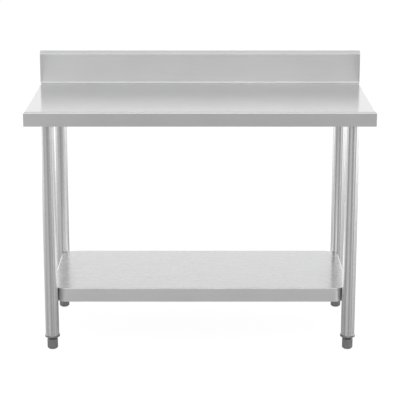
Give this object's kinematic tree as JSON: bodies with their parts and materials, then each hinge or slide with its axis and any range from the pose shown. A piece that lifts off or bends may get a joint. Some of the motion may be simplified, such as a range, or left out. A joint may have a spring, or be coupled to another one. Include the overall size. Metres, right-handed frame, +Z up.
{
  "type": "stainless work table",
  "caption": "Free-standing stainless steel kitchen work table with a rear upstand, round tube legs, a lower shelf and screw-adjustable feet.",
  "frame": {"origin": "on the floor under the middle of the table", "axes": "+X along the table to the right seen from the front, +Y from the front to the rear, +Z up"},
  "size_m": [1.2, 0.6, 0.99],
  "materials": {
    "worktop_steel": "fine linear brushed",
    "shelf_steel": "fine linear brushed",
    "leg_tube_steel": "drawn tube, fine lengthwise polish",
    "hidden_steel": "mill finish",
    "socket_casting": "satin cast",
    "collar_steel": "satin turned",
    "foot_steel": "satin turned",
    "stud_steel": "threaded",
    "zinc_fastener": "bright zinc",
    "black_screw": "black oxide",
    "glide_plastic": "moulded"
  },
  "bodies": {
    "table": {"worktop_sheet": "worktop_steel", "upstand_end_cap_left": "worktop_steel", "upstand_end_cap_right": "worktop_steel", "rear_apron": "worktop_steel", "top_channel_front": "hidden_steel", "top_channel_rear": "hidden_steel", "top_channel_cross": "hidden_steel", "shelf_pan": "shelf_steel", "shelf_channel": "hidden_steel", "leg_rivet_nuts": "zinc_fastener", "shelf_washers": "zinc_fastener", "shelf_bolts": "zinc_fastener", "socket_set_screws": "black_screw", "leg_socket_front_left": "socket_casting", "leg_front_left": "leg_tube_steel", "leg_collar_front_left": "collar_steel", "leg_socket_front_right": "socket_casting", "leg_front_right": "leg_tube_steel", "leg_collar_front_right": "collar_steel", "leg_socket_rear_left": "socket_casting", "leg_rear_left": "leg_tube_steel", "leg_collar_rear_left": "collar_steel", "leg_socket_rear_right": "socket_casting", "leg_rear_right": "leg_tube_steel", "leg_collar_rear_right": "collar_steel"},
    "glide_front_left": {"foot_glide_front_left": "glide_plastic"},
    "foot_front_left": {"foot_cup_front_left": "foot_steel", "foot_stud_front_left": "stud_steel"},
    "glide_front_right": {"foot_glide_front_right": "glide_plastic"},
    "foot_front_right": {"foot_cup_front_right": "foot_steel", "foot_stud_front_right": "stud_steel"},
    "glide_rear_left": {"foot_glide_rear_left": "glide_plastic"},
    "foot_rear_left": {"foot_cup_rear_left": "foot_steel", "foot_stud_rear_left": "stud_steel"},
    "glide_rear_right": {"foot_glide_rear_right": "glide_plastic"},
    "foot_rear_right": {"foot_cup_rear_right": "foot_steel", "foot_stud_rear_right": "stud_steel"}
  },
  "joints": [
    {"name": "foot_front_left_height", "type": "slide", "parent": "table", "child": "glide_front_left", "axis": [0, 0, -1], "range_m": [-0.0025, 0.022]},
    {"name": "foot_front_left_turn", "type": "hinge", "parent": "glide_front_left", "child": "foot_front_left", "pos_m": [-0.526, -0.236, 0.04], "axis": [0, 0, -1], "range_deg": [-450, 3960]},
    {"name": "foot_front_right_height", "type": "slide", "parent": "table", "child": "glide_front_right", "axis": [0, 0, -1], "range_m": [-0.0025, 0.022]},
    {"name": "foot_front_right_turn", "type": "hinge", "parent": "glide_front_right", "child": "foot_front_right", "pos_m": [0.526, -0.236, 0.04], "axis": [0, 0, -1], "range_deg": [-450, 3960]},
    {"name": "foot_rear_left_height", "type": "slide", "parent": "table", "child": "glide_rear_left", "axis": [0, 0, -1], "range_m": [-0.0025, 0.022]},
    {"name": "foot_rear_left_turn", "type": "hinge", "parent": "glide_rear_left", "child": "foot_rear_left", "pos_m": [-0.526, 0.236, 0.04], "axis": [0, 0, -1], "range_deg": [-450, 3960]},
    {"name": "foot_rear_right_height", "type": "slide", "parent": "table", "child": "glide_rear_right", "axis": [0, 0, -1], "range_m": [-0.0025, 0.022]},
    {"name": "foot_rear_right_turn", "type": "hinge", "parent": "glide_rear_right", "child": "foot_rear_right", "pos_m": [0.526, 0.236, 0.04], "axis": [0, 0, -1], "range_deg": [-450, 3960]}
  ],
  "couplings": [
    {"joint": "foot_front_left_height", "follows": "foot_front_left_turn", "m_per_rad": 0.00031831},
    {"joint": "foot_front_right_height", "follows": "foot_front_right_turn", "m_per_rad": 0.00031831},
    {"joint": "foot_rear_left_height", "follows": "foot_rear_left_turn", "m_per_rad": 0.00031831},
    {"joint": "foot_rear_right_height", "follows": "foot_rear_right_turn", "m_per_rad": 0.00031831}
  ]
}
